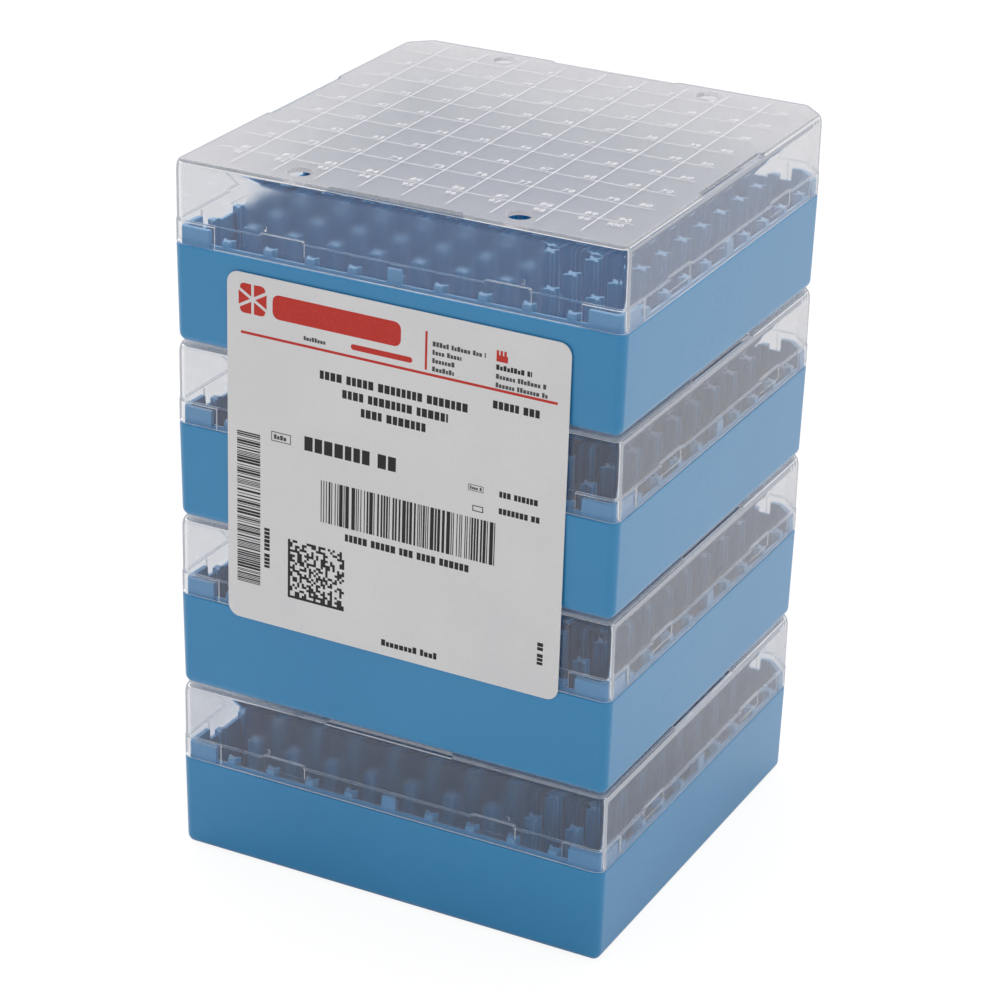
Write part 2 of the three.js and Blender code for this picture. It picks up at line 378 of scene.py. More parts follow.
def make_base():
    cuts = [(0.0, 0), (18.0, 0), (38.0, 0)] + step_cuts(TAB_HALF) + step_cuts(CORNER_REACH)
    # up the outside
    rows = [level(lean(0) + BASE_EDGE + 0.8, 0)]
    for degrees in range(0, 91, 15):
        t = math.radians(degrees)
        inset = lean(BASE_EDGE) + BASE_EDGE * (1 - math.sin(t))
        rows.append(level(inset, BASE_EDGE * (1 - math.cos(t))))
    rows += [level(lean(z), z) for z in (9, 18, 27.5)]
    rows += [
        level(0.03, 27.78),
        level(0.09, 27.96),
        level(0.22, SHOULDER),
        level(RIM_IN - 0.15, SHOULDER, corner=CORNER_IN - 0.15),
        level(RIM_IN, SHOULDER + 0.15, corner=CORNER_IN),
        level(RIM_IN, 28.9, corner=CORNER_IN),
    ]
    # over the rim and down the inside
    rows += [rim_row(CORNER_IN, RIM_IN, *steps) for steps in RIM_OUTER_ROUND]
    rows += [rim_row(WALL_IN, WALL_IN, *steps) for steps in RIM_INNER_ROUND]
    rows += [level(WALL_IN, z) for z in (28.4, 10)]
    for degrees in (0, 30, 60, 90):
        t = math.radians(degrees)
        inset = WALL_IN + FLOOR_ROUND * (1 - math.cos(t))
        rows.append(level(inset, FLOOR + FLOOR_ROUND * (1 - math.sin(t))))
    rows.append(level(WALL_IN + FLOOR_ROUND + 1.0, FLOOR))
    base = shell("base_shell", perimeter(cuts), rows)

    lines = [i * PITCH for i in range(1 - CELLS_HALF, CELLS_HALF)]
    posts = [post(x, y) for x in lines for y in lines]
    posts += [wall_post(along, side) for side in range(4) for along in lines]
    boolean(base, mesh_object("posts", *gather(posts)), "UNION")
    return base


def star(offset):
    """Section of a post: four rounded arms on the diagonals, hollow sides."""
    tip = ARM_TIP - offset
    waist = WAIST - offset
    # the end of an arm's tip, and the hollow arc's radius and half angle from it
    tip_end = math.radians(45 + 78)
    end_x = ARM_REACH * math.cos(math.radians(45)) + tip * math.cos(tip_end)
    end_y = ARM_REACH * math.sin(math.radians(45)) + tip * math.sin(tip_end)
    rise = end_y - waist
    radius = (end_x * end_x + rise * rise) / (2 * rise)
    half = math.asin(min(1.0, end_x / radius))
    points = []
    for quarter in range(4):
        arm = math.radians(45 + 90 * quarter)
        x, y = ARM_REACH * math.cos(arm), ARM_REACH * math.sin(arm)
        for i in range(7):
            t = arm + math.radians(-78 + 26 * i)
            points.append((x + tip * math.cos(t), y + tip * math.sin(t)))
        turn = arm - math.radians(45)
        for i in range(1, 6):
            t = -half + 2 * half * i / 6
            x, y = -radius * math.sin(t), waist + radius - radius * math.cos(t)
            points.append(rotate(x, y, math.cos(turn), math.sin(turn)))
    return points


def post(x, y):
    return prism_mesh(
        [[(x + dx, y + dy, z) for dx, dy in star(offset)] for z, offset in POST_LEVELS]
    )


def wall_post(along, side):
    """The inner half of a post where a line of cells meets the wall."""
    rings = []
    for z, offset in POST_LEVELS:
        points = [p for p in star(offset) if p[1] > -1e-6]
        points.sort(key=lambda p: math.atan2(p[1], p[0]))
        width = points[0][0]
        points = [(width + 0.08, -0.6)] + points + [(-width - 0.08, -0.6)]
        rings.append(
            [
                (*turn_to_side(along + dx, -CELLS_HALF * PITCH + dy, side), z)
                for dx, dy in points
            ]
        )
    return prism_mesh(rings)


# ---------------------------------------------------------------------- lid
# Inside, where the skirt meets the upper wall: inset and z from STEP, then the
# same at the lugs, with z from STEP + LUG_RISE
INNER_STEP = [
    (UPPER_IN, 0.1, UPPER_IN, 0.1),
    (UPPER_IN + 0.06, 0.0, UPPER_IN + 0.06, 0.0),
    (LID_IN - 0.05, -0.08, LID_IN - 0.05, -0.08),
    (LID_IN, -0.16, LID_IN, -0.16),
    (LID_IN, -0.3, LID_IN, -0.34),
    (LID_IN, -0.4, LUG_IN, -0.46),
]
# Up the outside: inset, z, how much higher at the lugs
OUTER_WALL = [
    (0.2, SKIRT, 0),
    (0.06, SKIRT + 0.06, 0),
    (0.0, SKIRT + 0.2, 0),
    (0.0, STEP - 0.22, LUG_RISE),
    (0.03, STEP - 0.09, LUG_RISE),
    (0.1, STEP - 0.01, LUG_RISE),
    (STEP_IN - 0.03, STEP + 0.03, LUG_RISE),
    (STEP_IN, STEP + 0.12, LUG_RISE),
    (STEP_IN, 36.9, 0),
    (STEP_IN, 44.0, 0),
    (STEP_IN, 48.0, 0),
]
# Angles round the top edge; from the sixth on, the notch has its own (inset, z)
EDGE_ANGLES = (0, 10, 20, 30, 40, 48, 56, 64, 72, 81, 90)
NOTCH_SIDE = [
    (STEP_IN + 0.35, 50.47),
    (STEP_IN + 0.41, 50.56),
    (STEP_IN + 0.53, NOTCH_FLOOR),
    (1.6, NOTCH_FLOOR),
    (NOTCH_IN - 0.12, NOTCH_FLOOR),
    (NOTCH_IN, NOTCH_FLOOR + 0.1),
]
# Across the top: inset, then inset and z at the notch
TOP_PLATE = [
    (2.25, NOTCH_IN + 0.03, TOP - 0.14),
    (2.5, NOTCH_IN + 0.08, TOP - 0.04),
    (2.8, NOTCH_IN + 0.2, TOP),
    (3.4, 3.4, TOP),
]
# Section of a vent cutter: z, radius
VENT_CUTTER = [
    (CEILING - 1, VENT_R + 0.15),
    (CEILING, VENT_R + 0.15),
    (CEILING + 0.15, VENT_R),
    (TOP - 0.22, VENT_R),
    (TOP - 0.07, VENT_R + 0.07),
    (TOP, VENT_R + 0.22),
    (TOP + 1, VENT_R + 0.22),
]


def lid_region(station):
    if station.kind != "side" or abs(station.at) > POCKET_REACH:
        return "corner"
    if LUG_START < abs(station.at) < LUG_END:
        return "lug"
    return "notch" if abs(station.at) < NOTCH_HALF else "wall"


def inner(inset, z, **special):
    """A row inside the lid; special gives the inset of a region by its name."""
    return lambda station: (special.get(lid_region(station), inset), z, 0)


def inner_step(inset, dz, lug_inset, lug_dz):
    def row(station):
        if lid_region(station) == "lug":
            return lug_inset, STEP + LUG_RISE + lug_dz, 0
        return inset, STEP + dz, 0

    return row


def outer(inset, z, rise):
    def row(station):
        return inset, z + (rise if lid_region(station) == "lug" else 0.0), NOTCH_FLARE

    return row


def top_row(inset, z, notch_inset, notch_z):
    across = (NOTCH_IN - inset) / (NOTCH_IN - STEP_IN)
    flare = NOTCH_FLARE * min(1.0, max(0.0, across))

    def row(station):
        if lid_region(station) == "notch":
            return notch_inset, notch_z, flare
        return inset, z, flare

    return row


def lid_rows():
    rows = [inner(UPPER_IN + FILLET + 1.0, CEILING)]
    for degrees in (90, 75, 60, 45, 30, 15, 0):
        t = math.radians(degrees)
        inset = UPPER_IN + FILLET * (1 - math.cos(t))
        rows.append(inner(inset, CEILING - FILLET * (1 - math.sin(t))))
    rows += [inner(UPPER_IN, z) for z in (42.0, 36.9)]
    rows += [inner_step(*entry) for entry in INNER_STEP]
    rows += [
        inner(LID_IN, POCKET_TOP + 0.06, lug=LUG_IN),
        inner(LID_IN, POCKET_TOP - 0.06, corner=POCKET_IN, lug=LUG_IN),
        inner(LID_IN, LUG_LOW + 0.06, corner=POCKET_IN, lug=LUG_IN),
        inner(LID_IN, LUG_LOW - 0.06, corner=POCKET_IN),
        inner(LID_IN, 29.25, corner=POCKET_IN),
        inner(1.42, 28.43, corner=1.0),
        inner(1.3, SKIRT, corner=0.9),
    ]
    rows += [outer(*entry) for entry in OUTER_WALL]
    plain_count = len(EDGE_ANGLES) - len(NOTCH_SIDE)
    for i, degrees in enumerate(EDGE_ANGLES):
        t = math.radians(degrees)
        inset = STEP_IN + EDGE * (1 - math.cos(t))
        z = TOP - EDGE_TALL * (1 - math.sin(t))
        at_notch = (inset, z) if i < plain_count else NOTCH_SIDE[i - plain_count]
        rows.append(top_row(inset, z, *at_notch))
    for inset, notch_inset, notch_z in TOP_PLATE:
        rows.append(top_row(inset, TOP, notch_inset, notch_z))
    return rows


def vent_cutter(x, y):
    turns = [2 * math.pi * i / 48 for i in range(48)]
    return prism_mesh(
        [
            [(x + radius * math.cos(t), y + radius * math.sin(t), z) for t in turns]
            for z, radius in VENT_CUTTER
        ]
    )


def nub(x):
    """A bump on the front wall, taller than wide."""
    radius_x, radius_y, radius_z = NUB_RADII
    rings = []
    for k in range(1, 8):
        t = math.pi * k / 8
        z = NUB_Z - radius_z * math.cos(t) + NUB_LIFT * math.sin(t)
        ring = []
        for i in range(16):
            a = -2 * math.pi * i / 16
            ring.append(
                (
                    x + radius_x * math.sin(t) * math.cos(a),
                    NUB_Y - radius_y * math.sin(t) * math.sin(a),
                    z,
                )
            )
        rings.append(ring)
    return prism_mesh(rings)


def make_lid():
    cuts = [(0.0, 0), (9.5, 0), (47.0, 0), (NOTCH_HALF - 0.08, 1), (NOTCH_HALF + 0.08, 1)]
    for at in (LUG_START, LUG_END, POCKET_REACH):
        cuts += step_cuts(at)
    lid = shell("lid_shell", perimeter(cuts), lid_rows())
    vents = [vent_cutter(x, y) for x in (-VENT_X, VENT_X) for y in (-VENT_Y, VENT_Y)]
    boolean(lid, mesh_object("vents", *gather(vents)), "DIFFERENCE")
    boolean(lid, mesh_object("nubs", *gather([nub(x) for x in NUB_X])), "UNION")
    return lid


# ------------------------------------------------------------- printed grid
def digit_outline(digit):
    """Vertices and faces of a thin digit in the font's own size."""
    curve = bpy.data.curves.new("digit", "FONT")
    curve.body = digit
    curve.size = 1.0
    curve.offset = 0.022
    curve.extrude = 0.5
    curve.resolution_u = 3
    curve.fill_mode = "BOTH"
    obj = add_object("digit", curve)
    mesh = evaluated_mesh(obj)
    verts = [tuple(v.co) for v in mesh.vertices]
    faces = [tuple(p.vertices) for p in mesh.polygons]
    bpy.data.objects.remove(obj)
    bpy.data.curves.remove(curve)
    bpy.data.meshes.remove(mesh)
    return verts, faces


def digit_meshes():
    """(verts, faces, width) of each digit, its lower left corner at the origin."""
    outlines = {digit: digit_outline(digit) for digit in "0123456789"}
    ys = [v[1] for v in outlines["1"][0]]
    scale = DIGIT_HEIGHT / (max(ys) - min(ys))
    glyphs = {}
    for digit, (verts, faces) in outlines.items():
        xs = [v[0] for v in verts]
        left, right = min(xs) * scale, max(xs) * scale
        foot = min(ys) * scale
        placed = [(x * scale - left, y * scale - foot, z) for x, y, z in verts]
        glyphs[digit] = (placed, faces, right - left)
    return glyphs


def number(glyphs, text, right, foot):
    """A number whose last digit ends at right."""
    x = right - (sum(glyphs[digit][2] for digit in text) + DIGIT_GAP * (len(text) - 1))
    parts = []
    for digit in text:
        verts, faces, width = glyphs[digit]
        placed = [
            (dx + x, dy + foot, INK_HIGH if dz > 0 else INK_LOW) for dx, dy, dz in verts
        ]
        parts.append((placed, faces))
        x += width + DIGIT_GAP
    return gather(parts)


def make_print():
    half = LINE_WIDTH / 2
    parts = [block_mesh(*ROW_ENDS, y - half, y + half, INK_LOW, INK_HIGH) for y in ROWS]
    front, back = COLUMN_ENDS
    marks = [front] + sorted(ROWS) + [back]
    for x in COLUMNS:
        for start, end in zip(marks, marks[1:]):
            y0 = start if start == front else start + half + LINE_GAP
            y1 = end if end == back else end - half - LINE_GAP
            parts.append(block_mesh(x - half, x + half, y0, y1, INK_LOW, INK_HIGH))
    glyphs = digit_meshes()
    for row in range(10):
        foot = ROWS[row] + NUMBER_FOOT if row < 9 else ROWS[8] - LAST_NUMBER_DROP
        for column in range(10):
            if column < 9:
                right = COLUMNS[column] - NUMBER_GAPS[column]
            else:
                right = LAST_NUMBER_RIGHT
            parts.append(number(glyphs, str(row * 10 + column + 1), right, foot))
    verts, faces = gather(parts)
    cos, sin = math.cos(PRINT_TURN), math.sin(PRINT_TURN)
    return [(*rotate(x, y, cos, sin), z) for x, y, z in verts], faces


# -------------------------------------------------------------------- label
def on_label(u, v, y):
    """A point of the label, u and v from its lower left corner, at depth y."""
    cos, sin = math.cos(LABEL_TILT), math.sin(LABEL_TILT)
    x, z = rotate(u - LABEL_SIDE / 2, v - LABEL_SIDE / 2, cos, -sin)
    return LABEL_X + x, y, LABEL_Z + z


def make_label():
    rings = []
    for inset, y in (
        (0.04, LABEL_BACK),
        (0.0, LABEL_BACK - 0.05),
        (0.0, LABEL_FRONT + 0.07),
        (0.03, LABEL_FRONT + 0.02),
        (0.1, LABEL_FRONT),
    ):
        far = LABEL_SIDE - inset
        points = rounded_rectangle(inset, inset, far, far, LABEL_CORNER - inset, steps=10)
        rings.append([on_label(u, v, y) for u, v in points])
    return prism_mesh(rings)


def patch(points):
    """A thin printed patch from anticlockwise (u, v) points of the layout."""
    return prism_mesh(
        [
            [on_label(u * LAYOUT, v * LAYOUT, y) for u, v in points]
            for y in (PRINT_BACK, PRINT_FRONT)
        ]
    )


def bar(u0, v0, u1, v1):
    return patch([(u0, v0), (u1, v0), (u1, v1), (u0, v1)])


def round_bar(u0, v0, u1, v1, radius):
    return patch(rounded_rectangle(u0, v0, u1, v1, radius, steps=4))


def frame_bars(u0, v0, u1, v1, width):
    return [
        bar(u0, v0, u1, v0 + width),
        bar(u0, v1 - width, u1, v1),
        bar(u0, v0 + width + 0.01, u0 + width, v1 - width - 0.01),
        bar(u1 - width, v0 + width + 0.01, u1, v1 - width - 0.01),
    ]


def words(rng, start, end, foot, height, caps=False, vertical=False):
    """A line of dummy text: one plain block for each letter, grouped like words.

    Vertical text runs up the label, its letters reaching left from foot.
    """
    letters = []
    at = start
    left = rng.randint(3, 8)  # letters left in the word
    first = True
    while at < end - 0.2 * height:
        width = min(height * rng.uniform(0.46, 0.66), end - at)
        tall = height * (1.0 if caps or first or rng.random() < 0.15 else 0.74)
        if vertical:
            letters.append(bar(foot - tall, at, foot, at + width))
        else:
            letters.append(bar(at, foot, at + width, foot + tall))
        at += width + height * 0.15
        left -= 1
        first = left == 0
        if first:
            at += height * 0.45
            left = rng.randint(3, 8)
    return letters


def snow_tile(u, v, side):
    """A rounded tile, open along the six arms of a snow star, round (u, v)."""
    half = side / 2
    pull = 0.42 / math.sin(math.radians(30))  # opens arms 0.84 wide
    wedges = []
    for k in range(6):
        start = math.radians(30 + 60 * k)
        end = start + math.radians(60)
        middle = (start + end) / 2
        tip_u, tip_v = u + pull * math.cos(middle), v + pull * math.sin(middle)
        points = [(tip_u, tip_v)]
        for i in range(9):
            t = start + (end - start) * i / 8
            cos, sin = math.cos(t), math.sin(t)
            reach = 1.0 / (abs(cos / half) ** 5 + abs(sin / half) ** 5) ** 0.2
            points.append((tip_u + (reach - pull) * cos, tip_v + (reach - pull) * sin))
        wedges.append(patch(points))
    return wedges


def code_spans(rng, start, last_start, end, widths, gaps):
    """(start, end) of the bars of a bar code."""
    spans = []
    at = start
    while at < last_start:
        width = min(rng.choice(widths), end - at)
        spans.append((at, at + width))
        at += width + rng.choice(gaps)
    return spans


def square_code(rng, left, foot, side, count):
    """Random modules, merged into runs; the foot and left edges are solid."""
    module = side / count
    runs = []
    for j in range(count):
        i = 0
        while i < count:
            if not (j == 0 or i == 0 or rng.random() < 0.48):
                i += 1
                continue
            k = i
            while k < count and (k == i or j == 0 or rng.random() < 0.42):
                k += 1
            u0, u1, v0 = left + i * module, left + k * module, foot + j * module
            runs.append(bar(u0, v0, u1 - 0.005, v0 + module - 0.005))
            i = k + 1
    return runs


# Lines of text on the upper half: ink, left, right, foot, letter height, capitals
UPPER_TEXT = [
    ("grey", 62.3, 77.8, 93.4, 1.35, False),
    ("grey", 62.3, 70.8, 91.05, 1.35, False),
    ("grey", 62.3, 68.8, 88.75, 1.35, False),
    ("grey", 62.3, 68.7, 86.4, 1.35, False),
    ("black", 80.9, 91.2, 90.9, 1.45, False),
    ("grey", 80.9, 95.7, 88.4, 1.35, False),
    ("grey", 80.9, 95.9, 86.0, 1.35, False),
    ("grey", 23.7, 31.2, 86.9, 1.2, False),
    ("black", 80.3, 93.8, 80.0, 2.2, True),
    ("black", 28.7, 74.2, 77.0, 2.4, True),
    ("black", 35.6, 67.3, 72.9, 2.4, True),
    ("black", 41.3, 61.4, 68.7, 2.4, True),
]
# Framed tags: frame (u0, v0, u1, v1, width), then the grey text inside, if any,
# and the black line to the right, both (left, right, foot, letter height)
TAGS = [
    ((13.8, 55.7, 19.9, 58.5, 0.2), (14.6, 19.2, 56.4, 1.35), (24.1, 52.7, 55.2, 4.1)),
    ((73.8, 55.3, 78.3, 57.1, 0.15), (74.3, 77.9, 55.75, 0.9), (83.0, 94.8, 55.3, 1.7)),
    ((75.2, 49.6, 78.4, 51.3, 0.25), None, (83.0, 94.9, 50.5, 1.7)),
]


def make_red_print():
    red = snow_tile(7.95, 95.1, side=8.6)
    # heading bar and the line under it
    red.append(round_bar(14.1, 91.0, 52.9, 97.9, radius=2.0))
    red.append(round_bar(38.0, 87.3, 56.4, 88.9, radius=0.79))
    # rules
    red.append(bar(4.3, 84.9, 98.8, 85.65))
    red.append(bar(60.1, 86.4, 60.75, 97.2))
    # block with three teeth on top
    red.append(bar(80.9, 93.2, 84.2, 95.0))
    red += [bar(u, 95.01, u + 0.7, 96.3) for u in (80.9, 82.0, 83.1)]
    return red


def make_label_print():
    """The red, black and grey print; the random draws depend on the order here."""
    rng = random.Random(7)
    black, grey = [], []
    for ink, *line in UPPER_TEXT:
        text = words(rng, *line)
        if ink == "black":
            black += text
        else:
            grey += text
    for frame, inside, beside in TAGS:
        black += frame_bars(*frame)
        if inside:
            grey += words(rng, *inside)
        black += words(rng, *beside, caps=True)
    # bar code across, with its line of text
    spans = code_spans(
        rng, start=29.3, last_start=82.3, end=82.5,
        widths=(0.27, 0.27, 0.54, 0.54, 0.81, 1.08),
        gaps=(0.27, 0.27, 0.3, 0.54, 0.54, 0.81),
    )
    black += [bar(start, 35.2, end, 47.6) for start, end in spans]
    black += words(rng, 36.9, 75.0, 31.3, 2.1, caps=True)
    # bar code up the left edge, with its line of text
    spans = code_spans(
        rng, start=11.2, last_start=56.1, end=56.4,
        widths=(0.22, 0.22, 0.44, 0.44, 0.66),
        gaps=(0.2, 0.22, 0.22, 0.44, 0.6),
    )
    black += [bar(3.0, start, 10.3, end) for start, end in spans]
    black += words(rng, 17.2, 29.2, 13.3, 1.7, caps=True, vertical=True)
    black += square_code(rng, left=19.1, foot=10.0, side=17.7, count=24)
    # foot and right edge of the label
    black += words(rng, 48.6, 66.3, 2.9, 1.9)
    black += words(rng, 9.6, 16.2, 97.4, 1.7, caps=True, vertical=True)
    return gather(make_red_print()), gather(black), gather(grey)


# ---------------------------------------------------------------- materials
def linear(*rgb):
    """A linear colour from sRGB values of 0 to 255."""

    def channel(value):
        value /= 255.0
        return value / 12.92 if value <= 0.04045 else ((value + 0.055) / 1.055) ** 2.4

    return (*map(channel, rgb), 1.0)


class Nodes:
    """A builder for the node tree of a material or world."""

    def __init__(self, owner, output="OutputMaterial"):
        self.owner = owner
        owner.use_nodes = True
        self.tree = owner.node_tree
        self.tree.nodes.clear()
        self.output = self.add(output)

    def put(self, socket, value):
        if isinstance(value, bpy.types.Node):
            value = value.outputs[0]
        if isinstance(value, bpy.types.NodeSocket):
            self.tree.links.new(value, socket)
        else:
            socket.default_value = value

    def add(self, kind, **inputs):
        """A node with its inputs set by name, with _ for a space."""
        node = self.tree.nodes.new("ShaderNode" + kind)
        for key, value in inputs.items():
            self.put(node.inputs[key.replace("_", " ")], value)
        return node

    def coordinates(self):
        return self.add("TexCoord").outputs["Object"]

    def math(self, operation, *values):
        node = self.add("Math")
        node.operation = operation
        for i, value in enumerate(values):
            self.put(node.inputs[i], value)
        return node

    def mix(self, factor, a, b):
        """A mix of two colours."""
        node = self.add("Mix")
        node.data_type = "RGBA"
        for i, value in ((0, factor), (6, a), (7, b)):
            self.put(node.inputs[i], value)
        return node.outputs[2]

    def mix_value(self, factor, a, b):
        node = self.add("Mix")
        node.data_type = "FLOAT"
        for i, value in ((0, factor), (2, a), (3, b)):
            self.put(node.inputs[i], value)
        return node.outputs[0]

    def mix_shader(self, factor, a, b):
        node = self.add("MixShader")
        for i, value in enumerate((factor, a, b)):
            self.put(node.inputs[i], value)
        return node

    def noise(self, vector, scale, detail, rough):
        node = self.add("TexNoise", Vector=vector, Scale=scale, Detail=detail, Roughness=rough)
        return node.outputs["Fac"]

    def ramp(self, value, low, high, to_low=0.0, to_high=1.0):
        node = self.add("MapRange")
        node.interpolation_type = "SMOOTHSTEP"
        self.put(node.inputs["Value"], value)
        for key, number in (
            ("From Min", low), ("From Max", high), ("To Min", to_low), ("To Max", to_high),
        ):
            node.inputs[key].default_value = number
        return node.outputs["Result"]

    def bump(self, height, strength, distance, **normal):
        return self.add("Bump", Strength=strength, Distance=distance, Height=height, **normal)

    def slant(self):
        """Near 0 on faces turned to the viewer, rising steeply to 1 edge on."""
        return self.math("POWER", self.add("LayerWeight", Blend=0.5).outputs["Facing"], 3.0)

    def finish(self, shader):
        self.put(self.output.inputs["Surface"], shader)
        return self.owner


def new_material(name):
    return Nodes(bpy.data.materials.new(name))


def blue_material():
    n = new_material("blue_polycarbonate_moulded")
    coord = n.coordinates()
    broad = n.noise(coord, scale=14, detail=3, rough=0.6)
    fine = n.noise(coord, scale=900, detail=3, rough=0.6)
    grain = n.noise(coord, scale=3200, detail=2, rough=0.5)
    tone = n.ramp(broad, low=0.3, high=0.7)
    base = n.mix(tone, linear(18, 133, 190), linear(26, 138, 194))
    specks = n.ramp(fine, low=0.35, high=0.75, to_high=0.12)
    base = n.mix(specks, base, linear(58, 150, 202))
    normal = n.bump(grain, strength=0.10, distance=0.0002)
    normal = n.bump(broad, strength=0.12, distance=0.0012, Normal=normal)
    bsdf = n.add(
        "BsdfPrincipled",
        Base_Color=base,
        Roughness=n.ramp(fine, low=0.2, high=0.8, to_low=0.34, to_high=0.46),
        IOR=1.58,
        Coat_Weight=0.4,
        Coat_Roughness=0.35,
        Normal=normal,
    )
    # painted sheen: a pale diffuse layer mixed in where the surface is seen at a slant,
    # standing in for reflection there
    painted_sheen_peak = 0.35
    painted_sheen = n.add("BsdfDiffuse", Color=(0.9, 0.9, 0.92, 1))
    return n.finish(n.mix_shader(n.math("MULTIPLY", n.slant(), painted_sheen_peak), bsdf, painted_sheen))


def frost_masks(n, coord, x, y, z):
    """Masks of the frosted panel on the front wall and of the frosted top plate."""
    ragged = 0.0024  # metres the panel's outline wanders
    flatter = 0.4  # share of that on the upper edge
    front_y = -0.0657
    plate_z = 0.05147
    noise = n.noise(coord, scale=420, detail=3, rough=0.7)
    wobble = n.math("MULTIPLY", n.math("SUBTRACT", noise, 0.5), ragged)
    edge_x = n.math("ADD", x, wobble)
    edge_z = n.math("ADD", z, n.math("MULTIPLY", wobble, flatter))
    left = n.ramp(edge_x, low=-0.0443, high=-0.0431)
    right = n.ramp(edge_x, low=0.0427, high=0.0439, to_low=1.0, to_high=0.0)
    upper = n.ramp(edge_z, low=0.0485, high=0.0491, to_low=1.0, to_high=0.0)
    panel = n.math("MULTIPLY", n.math("MULTIPLY", left, right), upper)
    panel = n.math("MULTIPLY", panel, n.math("LESS_THAN", y, front_y))
    return panel, n.math("GREATER_THAN", z, plate_z)


def bore_mask(n, x, y):
    """1 on the walls of the vent holes."""
    dx = n.math("SUBTRACT", n.math("ABSOLUTE", x), VENT_X * MM)
    dy = n.math("SUBTRACT", n.math("ABSOLUTE", y), VENT_Y * MM)
    squares = n.math("ADD", n.math("MULTIPLY", dx, dx), n.math("MULTIPLY", dy, dy))
    return n.math("LESS_THAN", n.math("SQRT", squares), (VENT_R + 0.1) * MM)


def clear_material():
    # values for the clear wall, the front panel and the top plate
    clear_rough, panel_rough, plate_rough = 0.03, 0.14, 0.32
    clear_bump, panel_bump, plate_bump = 0.0, 0.35, 0.08
    panel_haze, plate_haze = 0.012, 0.36
    sheen_gain, haze_floor = 0.5, 0.02  # painted sheen of the clear wall that grows where it is seen at a slant, and a little even haze where it faces the viewer
    bore_haze = 0.8
    spent_depth = 7.5  # bounces after which a ray ends in the painted glow

    n = new_material("clear_polycarbonate_moulded")
    coord = n.coordinates()
    x, y, z = n.add("SeparateXYZ", Vector=coord).outputs
    panel, plate = frost_masks(n, coord, x, y, z)
    frost = n.math("MAXIMUM", panel, plate)
    grain = n.noise(coord, scale=4600, detail=2, rough=0.55)
    ripple = n.noise(coord, scale=60, detail=2, rough=0.5)
    rough = n.mix_value(frost, clear_rough, n.mix_value(plate, panel_rough, plate_rough))
    strength = n.mix_value(frost, clear_bump, n.mix_value(plate, panel_bump, plate_bump))
    normal = n.bump(grain, strength=strength, distance=0.00006)
    normal = n.bump(ripple, strength=0.05, distance=0.0006, Normal=normal)
    glass = n.add(
        "BsdfGlass", Color=(0.985, 0.988, 0.995, 1), Roughness=rough, IOR=1.585, Normal=normal
    )
    glass.distribution = "GGX"
    haze = n.mix_shader(
        0.5,
        n.add("BsdfDiffuse", Color=(0.72, 0.69, 0.70, 1), Normal=normal),
        n.add("BsdfTranslucent", Color=(0.78, 0.75, 0.76, 1)),
    )
    mottled = n.ramp(grain, low=0.3, high=0.7, to_low=0.9, to_high=1.1)
    # painted sheen: the haze layer grows where the wall is seen at a slant, standing in for
    # reflection there, over a little even haze
    haze_and_sheen = n.math("MULTIPLY_ADD", n.slant(), sheen_gain, haze_floor)
    haze_and_sheen = n.math("MULTIPLY", haze_and_sheen, n.math("SUBTRACT", 1.0, plate))
    plate_amount = n.math("MULTIPLY", plate, plate_haze)
    amount = n.math("ADD", plate_amount, n.math("MULTIPLY", panel, panel_haze))
    amount = n.math("MULTIPLY_ADD", amount, mottled, haze_and_sheen)
    # light already inside the plastic is only bent and reflected, but the
    # walls of the vent holes are matt on both sides
    inside = n.add("NewGeometry").outputs["Backfacing"]
    amount = n.math("MULTIPLY", amount, n.math("SUBTRACT", 1.0, inside))
    amount = n.math("MAXIMUM", amount, n.math("MULTIPLY", bore_mask(n, x, y), bore_haze))
    body = n.mix_shader(amount, glass, haze)
    # shadow and diffuse rays pass straight through
    tint = n.mix(frost, (0.975, 0.98, 0.995, 1), (0.92, 0.925, 0.94, 1))
    clear = n.add("BsdfTransparent", Color=tint)
    path = n.add("LightPath").outputs
    passing = n.math("MAXIMUM", path["Is Shadow Ray"], path["Is Diffuse Ray"])
    body = n.mix_shader(passing, body, clear)
    # painted glow: a ray past the bounce limit ends in a soft emission, standing in for the
    # light it would have found
    painted_glow = n.add("Emission", Color=(0.90, 0.94, 1.0, 1), Strength=0.5)
    spent = n.math("GREATER_THAN", path["Ray Depth"], spent_depth)
    return n.finish(n.mix_shader(spent, body, painted_glow))


def paper_material():
    n = new_material("label_paper_coated")
    coord = n.coordinates()
    fibre = n.noise(coord, scale=700, detail=4, rough=0.6)
    broad = n.noise(coord, scale=22, detail=3, rough=0.6)
    tone = n.ramp(broad, low=0.3, high=0.7)
    base = n.mix(tone, linear(226, 226, 228), linear(232, 232, 233))
    threads = n.ramp(fibre, low=0.45, high=0.8, to_high=0.25)
    base = n.mix(threads, base, linear(214, 215, 218))
    normal = n.bump(fibre, strength=0.12, distance=0.0001)
    normal = n.bump(broad, strength=0.2, distance=0.0008, Normal=normal)
    rough = n.ramp(fibre, low=0.3, high=0.7, to_low=0.46, to_high=0.58)
    return n.finish(n.add("BsdfPrincipled", Base_Color=base, Roughness=rough, Normal=normal))


def ink_material(name, dark, light):
    n = new_material(name)
    speck = n.noise(n.coordinates(), scale=1500, detail=3, rough=0.65)
    base = n.mix(n.ramp(speck, low=0.4, high=0.75), linear(*dark), linear(*light))
    rough = n.ramp(speck, low=0.3, high=0.7, to_low=0.49, to_high=0.61)
    normal = n.bump(speck, strength=0.1, distance=0.00005)
    return n.finish(n.add("BsdfPrincipled", Base_Color=base, Roughness=rough, Normal=normal))


